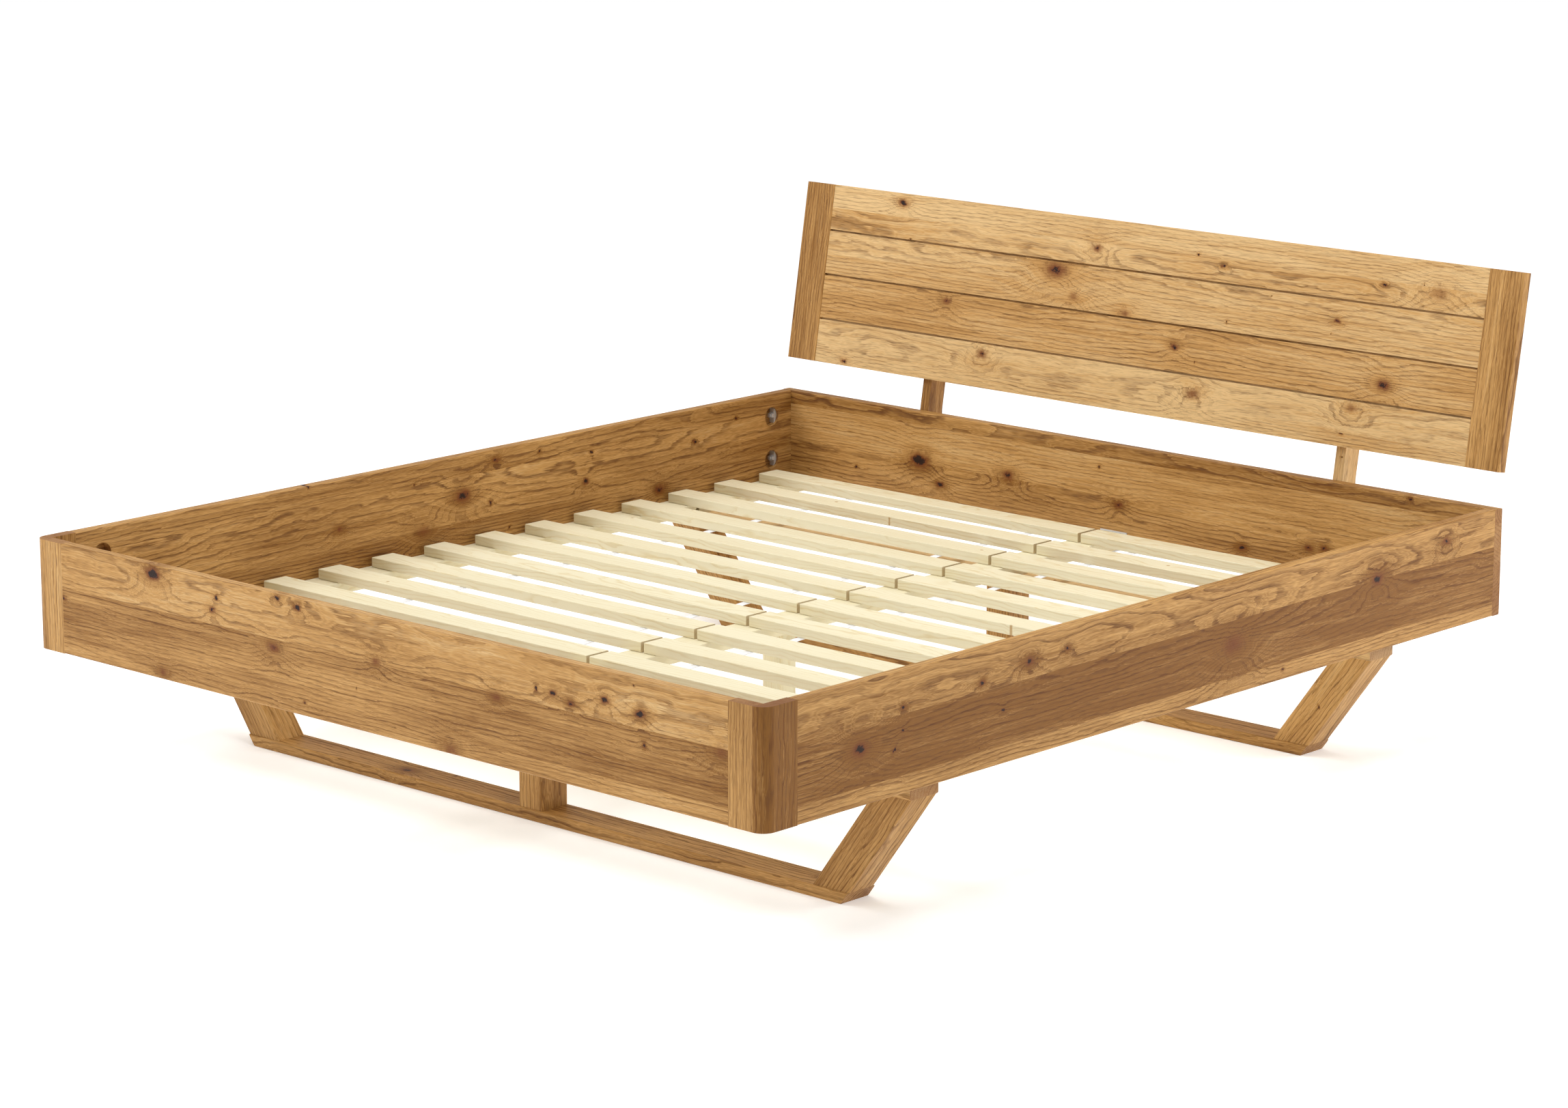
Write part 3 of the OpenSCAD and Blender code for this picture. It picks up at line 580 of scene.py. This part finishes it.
HEADBOARD = {
    "plank_1": (X, UP_THE_SLOPE, [Strip(0.0, 0.12, 0.3, 0.13), Strip(0.3, 0.06, 0.9, 0.29)], [
        Knot(0.470, 0.076, 0.011, 0.6), Knot(1.036, 0.061, 0.013, 0.5),
        Knot(1.430, 0.085, 0.012, 0.4), Knot(0.085, 0.014, 0.006, 0.7)]),
    "plank_2": (X, UP_THE_SLOPE, [Strip(0.0, 0.45, 0.6, 0.41)], [
        Knot(0.355, 0.078, 0.009, 0.6), Knot(0.976, 0.054, 0.008, 0.7),
        Knot(1.499, 0.041, 0.013, 0.7)]),
    "plank_3": (X, UP_THE_SLOPE, [Strip(0.0, 0.30, 0.2, 0.53), Strip(0.45, 0.25, 0.8, 0.67)], [
        Knot(0.643, 0.080, 0.022, 0.65), Knot(0.698, 0.029, 0.010, 0.4),
        Knot(0.838, 0.010, 0.010, 0.5), Knot(1.370, 0.055, 0.005, 0.7)]),
    "plank_4": (X, UP_THE_SLOPE, [Strip(0.0, 0.26, 0.9, 0.71), Strip(0.48, 0.06, 0.15, 0.79)], [
        Knot(0.202, 0.080, 0.009, 0.8), Knot(0.746, 0.039, 0.010, 0.6),
        Knot(1.078, 0.036, 0.004, 0.9), Knot(1.472, 0.043, 0.004, 0.9),
        Knot(1.603, 0.039, 0.018, 0.3)]),
    "left_stile": (UP_THE_SLOPE, X, [Strip(0.0, 0.86, 0.1, 0.17), Strip(0.6, 0.74, 0.2, 0.34)],
                   []),
    "right_stile": (UP_THE_SLOPE, X, [Strip(0.0, 0.56, 0.15, 0.59), Strip(0.5, 0.66, 0.3, 0.88)],
                    []),
    "left_post": (UP_THE_SLOPE, X, [Strip(0.0, 0.8, 0.2, 0.27)], []),
    "right_post": (UP_THE_SLOPE, X, [Strip(0.0, 0.2, 0.3, 0.52)], []),
}

CORNERS = {
    "left_foot_corner": (Z, X, [Strip(0.0, 0.66, 0.3, 0.21), Strip(0.4, 0.56, 0.2, 0.63)], []),
    "right_foot_corner": (Z, X, [Strip(0.0, 0.62, 0.3, 0.39), Strip(0.68, 1.02, 0.4, 0.73)], []),
}


def leg_grain(side):
    """Directions along and across a leg that leans to that side."""
    along = Vector((side * math.sin(LEG_LEAN), 0, math.cos(LEG_LEAN)))
    return along, Vector((math.cos(LEG_LEAN), 0, -side * math.sin(LEG_LEAN)))


LEG_FRAMES = {
    "front_cross_member": (X, Y, [Strip(0.0, 0.35, 0.4, 0.14)], []),
    "front_left_leg": (*leg_grain(-1), [Strip(0.0, 0.62, 0.3, 0.45)], []),
    "front_right_leg": (*leg_grain(1), [Strip(0.0, 0.64, 0.4, 0.56)], []),
    "front_block": (Z, X, [Strip(0.0, 0.64, 0.2, 0.69)], []),
    "front_runner": (X, Y, [Strip(0.0, 0.68, 0.7, 0.81)], [Knot(0.42, 0.03, 0.01, 0.8)]),
    # The rear cross member takes the palest tone, 0.0: painted light, standing in for the light
    # that falls on its top between the slats
    "rear_cross_member": (X, Y, [Strip(0.0, 0.0, 0.4, 0.26)], []),
    "rear_left_leg": (*leg_grain(-1), [Strip(0.0, 0.6, 0.3, 0.48)], []),
    "rear_right_leg": (*leg_grain(1), [Strip(0.0, 0.6, 0.5, 0.66)],
                       [Knot(0.08, 0.03, 0.006, 0.9)]),
    "rear_block": (Z, X, [Strip(0.0, 0.6, 0.2, 0.74)], []),
    "rear_runner": (X, Y, [Strip(0.0, 0.62, 0.6, 0.93)], []),
}


def finish_oak(boards, ease=EASE):
    """Finish each board of a table in oak, with a fine eased edge where it is still sharp."""
    oak = bpy.context.scene.bed_oak
    for node, (along, across, strips, knots) in boards.items():
        material = oiled_oak(node, grain_of(node, along, across), strips, knots, oak)
        finish(node, material, PLANK_EASE if node.startswith("plank") else ease)


BEARER_PITCH = 0.9  # the three bearers lie about this far apart
# Each node of slats holds two of them
SLAT_PAIRS = range(1, 8)
STRAP_GAP = 0.03  # two straps of a mat are further apart than this
SAG_STEPS = 8
WIRE_SIDES = 8


def clusters(node, axis, gap=0.005):
    """Where a node has vertices along an axis: low and high ends, split at gaps."""
    values = sorted(v.co[axis] for v in NODES[node].data.vertices)
    found = [[values[0], values[0]]]
    for value in values:
        if value - found[-1][1] > gap:
            found.append([value, value])
        found[-1][1] = value
    return found


def slats_of(side):
    """Low and high Y of each slat of a mat, from the foot."""
    spans = []
    for pair in SLAT_PAIRS:
        edges = clusters(f"{side}_slats_{pair}", 1)
        spans += [(edges[i][0], edges[i + 1][1]) for i in (0, 2)]
    return spans


def mesh_object(name, bm, material, smooth=True):
    """A new mesh object from a bmesh."""
    bmesh.ops.recalc_face_normals(bm, faces=bm.faces)
    mesh = bpy.data.meshes.new(name)
    for face in bm.faces:
        face.smooth = smooth
    bm.to_mesh(mesh)
    bm.free()
    mesh.materials.append(material)
    piece = bpy.data.objects.new(name, mesh)
    bpy.context.scene.collection.objects.link(piece)
    return piece


def sweep(bm, rings):
    """Skin closed rings of points into a tube with closed ends."""
    loops = [[bm.verts.new(p) for p in ring] for ring in rings]
    count = len(loops[0])
    for a, b in zip(loops, loops[1:]):
        for i in range(count):
            j = (i + 1) % count
            bm.faces.new((a[i], a[j], b[j], b[i]))
    bm.faces.new(loops[0])
    bm.faces.new(list(reversed(loops[-1])))


def strap_rings(low_x, high_x, top, thick, slats, sag):
    """Rings of one strap: flat under each slat, sagging a little between two."""
    middle, half = (low_x + high_x) / 2, (high_x - low_x) / 2
    # Section of the webbing: thin selvedges and a flat middle
    section = [(-1.0, 0.5), (-0.97, 0.2), (-0.85, 0.0), (0.85, 0.0), (0.97, 0.2), (1.0, 0.5),
               (0.97, 0.8), (0.85, 1.0), (-0.85, 1.0), (-0.97, 0.8)]
    stations = []
    for i, (start, stop) in enumerate(slats):
        stations += [(start, 0.0), (stop, 0.0)]
        if i + 1 < len(slats):
            reach = slats[i + 1][0] - stop
            stations += [(stop + reach * k / SAG_STEPS,
                          sag * math.sin(math.pi * k / SAG_STEPS) ** 2)
                         for k in range(1, SAG_STEPS)]
    return [[(middle + half * u, y, top - drop - thick * v) for u, v in section]
            for y, drop in stations]


def staple(bm, x, y, z, width, wire):
    """Crown of a wire staple under a strap, its ends turned up into the wood."""
    half, turn, leg = width / 2, 0.0006, 0.004
    path = [(-half, leg), (-half, turn), (-half + turn, 0.0),
            (half - turn, 0.0), (half, turn), (half, leg)]
    rings = []
    for i, (dx, dz) in enumerate(path):
        before, after = path[max(i - 1, 0)], path[min(i + 1, len(path) - 1)]
        along = Vector((after[0] - before[0], 0, after[1] - before[1])).normalized()
        side = Vector((-along.z, 0, along.x))
        spot = Vector((x + dx, y, z + dz))
        rings.append([spot + (side * math.cos(a) + Vector((0, 1, 0)) * math.sin(a)) * wire / 2
                      for a in (math.tau * k / WIRE_SIDES for k in range(WIRE_SIDES))])
    sweep(bm, rings)


class BED_OT_wood_groups(bpy.types.Operator):
    """Make the node groups that every wooden piece shares"""
    bl_idname = "bed.wood_groups"
    bl_label = "Wood groups"
    bl_options = {"REGISTER", "UNDO"}

    def execute(self, context):
        sawn_wood_group()
        knot_group()
        pin_knot_group()
        oiled_oak_group(context.scene.bed_oak)
        return {"FINISHED"}


class BED_OT_panels(bpy.types.Operator):
    """Finish the foot panel, head panel and side rails in oiled oak"""
    bl_idname = "bed.panels"
    bl_label = "Panels and rails"
    bl_options = {"REGISTER", "UNDO"}

    def execute(self, context):
        finish_oak(PANELS)
        return {"FINISHED"}


class BED_OT_corners(bpy.types.Operator):
    """Finish the rounded foot corners, whose grain stands upright"""
    bl_idname = "bed.corners"
    bl_label = "Foot corners"
    bl_options = {"REGISTER", "UNDO"}

    def execute(self, context):
        finish_oak(CORNERS)
        return {"FINISHED"}


class BED_OT_headboard(bpy.types.Operator):
    """Finish the headboard's planks, stiles and posts"""
    bl_idname = "bed.headboard"
    bl_label = "Headboard"
    bl_options = {"REGISTER", "UNDO"}

    def execute(self, context):
        finish_oak(HEADBOARD)
        return {"FINISHED"}


class BED_OT_leg_frames(bpy.types.Operator):
    """Finish the two sled-shaped leg frames"""
    bl_idname = "bed.leg_frames"
    bl_label = "Leg frames"
    bl_options = {"REGISTER", "UNDO"}

    def execute(self, context):
        finish_oak(LEG_FRAMES, LEG_EASE)
        return {"FINISHED"}


class BED_OT_slat_support(bpy.types.Operator):
    """Finish the pine bearers and the centre leg"""
    bl_idname = "bed.slat_support"
    bl_label = "Slat support"
    bl_options = {"REGISTER", "UNDO"}

    def execute(self, context):
        pine = context.scene.bed_pine
        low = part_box("middle_bearer")[0]
        boards = planed_pine("bearers", Y, X, (low.x, 0, low.z), BEARER_PITCH, pine)
        for node in ("left_bearer", "right_bearer", "middle_bearer"):
            finish(node, boards)
        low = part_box("centre_leg")[0]
        finish("centre_leg", planed_pine("centre_leg", Z, X, low, 1.0, pine))
        return {"FINISHED"}


class BED_OT_slat_mats(bpy.types.Operator):
    """Finish the slats, and make the webbing straps and the staples that hold them"""
    bl_idname = "bed.slat_mats"
    bl_label = "Slat mats"
    bl_options = {"REGISTER", "UNDO"}

    def execute(self, context):
        scene = context.scene
        hardware = scene.bed_hardware
        slats = slats_of("left")
        pitch = slats[1][0] - slats[0][0]
        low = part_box("left_slats_1")[0]
        wood = planed_pine("slats", X, Y, (0, slats[0][0], low.z), pitch, scene.bed_pine)
        webbing = woven_webbing(hardware)
        steel = bpy.data.materials["zinc_plated_steel"]
        for side in ("left", "right"):
            for pair in SLAT_PAIRS:
                finish(f"{side}_slats_{pair}", wood)
            straps, staples = bmesh.new(), bmesh.new()
            under, top = (corner.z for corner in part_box(f"{side}_straps"))
            for low_x, high_x in clusters(f"{side}_straps", 0, STRAP_GAP):
                sweep(straps, strap_rings(low_x, high_x, top, top - under, slats_of(side),
                                          hardware.sag))
                for start, stop in slats_of(side):
                    staple(staples, (low_x + high_x) / 2, (start + stop) / 2,
                           under - hardware.wire / 4, hardware.staple, hardware.wire)
            strap = mesh_object(f"{side}_webbing", straps, webbing)
            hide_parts(f"{side}_straps")
            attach(strap, f"{side}_mat")
            wire = mesh_object(f"{side}_staples", staples, steel)
            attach(wire, f"{side}_mat")
        return {"FINISHED"}


class BED_OT_hardware(bpy.types.Operator):
    """Finish the brackets, rods, nuts, washers, bolts and screws in zinc-plated steel"""
    bl_idname = "bed.hardware"
    bl_label = "Hardware"
    bl_options = {"REGISTER", "UNDO"}

    def execute(self, context):
        steel = zinc_plated_steel(context.scene.bed_hardware)
        finish("bearer_brackets", steel, BRACKET_EASE)
        for node in ("corner_rods", "corner_nuts", "half_moon_washers", "bearer_screws",
                     "bracket_screws", "crossing_screws", "post_bolts", "headboard_screws"):
            finish(node, steel)
        return {"FINISHED"}


# Each softbox: place, the point it is turned to, width and height, in metres
SOFTBOXES = {
    "key": ((-3.6, -5.0, 4.6), (-0.4, 0.0, 0.4), 3.0, 2.5),
    "side": ((3.6, 2.9, 2.2), (0.6, 0.8, 0.5), 2.0, 1.6),
    "top": ((0.3, 0.3, 5.0), (0.3, 0.3, 0.0), 4.0, 4.0),
}
FLOOR_REACH = 60.0
FAR_GLOW = 0.3  # how much more the floor glows far from the bed
CAMERA_PLACE = (5.7334, -6.2380, 2.2850)
CAMERA_DOWN = math.radians(12.676)
CAMERA_TURN = math.radians(42.775)
CAMERA_SENSOR = 36.0  # millimetres
CAMERA_CLIP = 200.0


def studio_floor(stage):
    """Pale matt vinyl that glows a little, as over a light table, so shadows stay faint."""
    material, tree = new_material("studio_floor")
    # From 2 to 7 m out the glow rises, as the softboxes light the floor less there
    away = add(tree, "VectorMath", {0: add(tree, "TexCoord").outputs["Object"]},
               operation="LENGTH").outputs["Value"]
    glow = add(tree, "MapRange", {"Value": away, 1: 2.0, 2: 7.0, 3: stage.glow,
                                  4: stage.glow + FAR_GLOW})
    surface = add(tree, "BsdfPrincipled", {
        "Base Color": opaque(stage.floor), "Roughness": 0.9, "Specular IOR Level": 0.1,
        "Emission Color": opaque(stage.floor), "Emission Strength": glow})
    add(tree, "OutputMaterial", {"Surface": surface})
    return material


def soft_light(name, place, target, width, height, watts):
    """A rectangular softbox at a place, turned to a target."""
    light = bpy.data.lights.new(name, "AREA")
    light.shape = "RECTANGLE"
    light.size = width
    light.size_y = height
    light.energy = watts
    lamp = bpy.data.objects.new(name, light)
    lamp.location = place
    lamp.rotation_euler = (Vector(target) - Vector(place)).to_track_quat("-Z", "Y").to_euler()
    bpy.context.scene.collection.objects.link(lamp)


class BED_OT_stage(bpy.types.Operator):
    """Set up the floor, the soft studio light and the camera"""
    bl_idname = "bed.stage"
    bl_label = "Stage"
    bl_options = {"REGISTER", "UNDO"}

    def execute(self, context):
        scene = context.scene
        stage = scene.bed_stage
        bm = bmesh.new()
        bmesh.ops.create_grid(bm, x_segments=1, y_segments=1, size=FLOOR_REACH)
        floor = mesh_object("studio_floor", bm, studio_floor(stage), smooth=False)
        world = bpy.data.worlds.new("studio")
        world.use_nodes = True
        tree = world.node_tree
        tree.nodes.clear()
        # The surround is white at the horizon, so that low views have no grey edge
        rise = add(tree, "SeparateXYZ", {0: add(tree, "TexCoord").outputs["Generated"]})
        strength = add(tree, "MapRange", {"Value": rise.outputs["Z"], 1: 0.03, 2: 0.2, 3: 1.0,
                                          4: stage.surround})
        sky = add(tree, "Background", {"Color": (1, 1, 1, 1), "Strength": strength})
        add(tree, "OutputWorld", {"Surface": sky})
        scene.world = world
        for name, (place, target, width, height) in SOFTBOXES.items():
            soft_light(name + "_softbox", place, target, width, height, getattr(stage, name))
        scene.view_settings.view_transform = "Standard"
        camera = bpy.data.cameras.new("camera")
        camera.lens = stage.lens
        camera.sensor_width = CAMERA_SENSOR
        camera.clip_end = CAMERA_CLIP
        viewer = bpy.data.objects.new("camera", camera)
        viewer.location = CAMERA_PLACE
        viewer.rotation_euler = (math.pi / 2 - CAMERA_DOWN, 0.0, CAMERA_TURN)
        scene.collection.objects.link(viewer)
        scene.camera = viewer
        return {"FINISHED"}


class BED_PT_sidebar(bpy.types.Panel):
    """Lists the bed's pieces"""
    bl_label = "Oak bed frame"
    bl_space_type = "VIEW_3D"
    bl_region_type = "UI"
    bl_category = "Bed"

    def draw(self, context):
        scene = context.scene
        for operator in OPERATORS:
            self.layout.operator(operator.bl_idname)
        for group in (scene.bed_oak, scene.bed_pine, scene.bed_hardware, scene.bed_stage):
            box = self.layout.box()
            for key in group.__annotations__:
                box.prop(group, key)


OPERATORS = (BED_OT_wood_groups, BED_OT_panels, BED_OT_corners, BED_OT_headboard,
             BED_OT_leg_frames, BED_OT_slat_support, BED_OT_hardware, BED_OT_slat_mats,
             BED_OT_stage)
SETTINGS = {"bed_oak": OakSettings, "bed_pine": PineSettings, "bed_hardware": HardwareSettings,
            "bed_stage": StageSettings}
CLASSES = (*SETTINGS.values(), *OPERATORS, BED_PT_sidebar)


def register():
    """Add the classes, and the settings of each scene."""
    for item in CLASSES:
        bpy.utils.register_class(item)
    for name, group in SETTINGS.items():
        setattr(bpy.types.Scene, name, PointerProperty(type=group))


def unregister():
    """Take the settings and the classes away again."""
    for name in SETTINGS:
        delattr(bpy.types.Scene, name)
    for item in reversed(CLASSES):
        bpy.utils.unregister_class(item)


def main():
    register()
    for operator in OPERATORS:
        module, name = operator.bl_idname.split(".")
        getattr(getattr(bpy.ops, module), name)()


if __name__ == "__main__":
    main()
